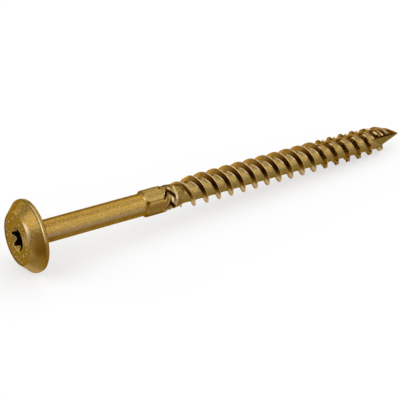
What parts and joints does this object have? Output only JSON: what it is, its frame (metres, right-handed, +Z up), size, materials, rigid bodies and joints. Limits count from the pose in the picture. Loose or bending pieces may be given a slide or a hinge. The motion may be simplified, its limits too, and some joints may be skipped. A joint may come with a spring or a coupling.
{
  "type": "lag screw",
  "caption": "Washer-head timber lag screw with a six-lobe socket, plain shank, reamer collar, coarse serrated thread and slash-cut point, lying on its side.",
  "frame": {"origin": "middle of the bounding box, on the bench that the screw lies on", "axes": "+X from the head towards the point, +Z up; the screw's own axis dips 3.05 degrees below +X towards the point, because the head rim is larger than the thread"},
  "size_m": [0.0902, 0.014, 0.0139],
  "materials": {
    "plated_steel": "yellow-bronze plated, satin"
  },
  "bodies": {
    "root": {"lag_screw": "plated_steel"}
  },
  "joints": []
}
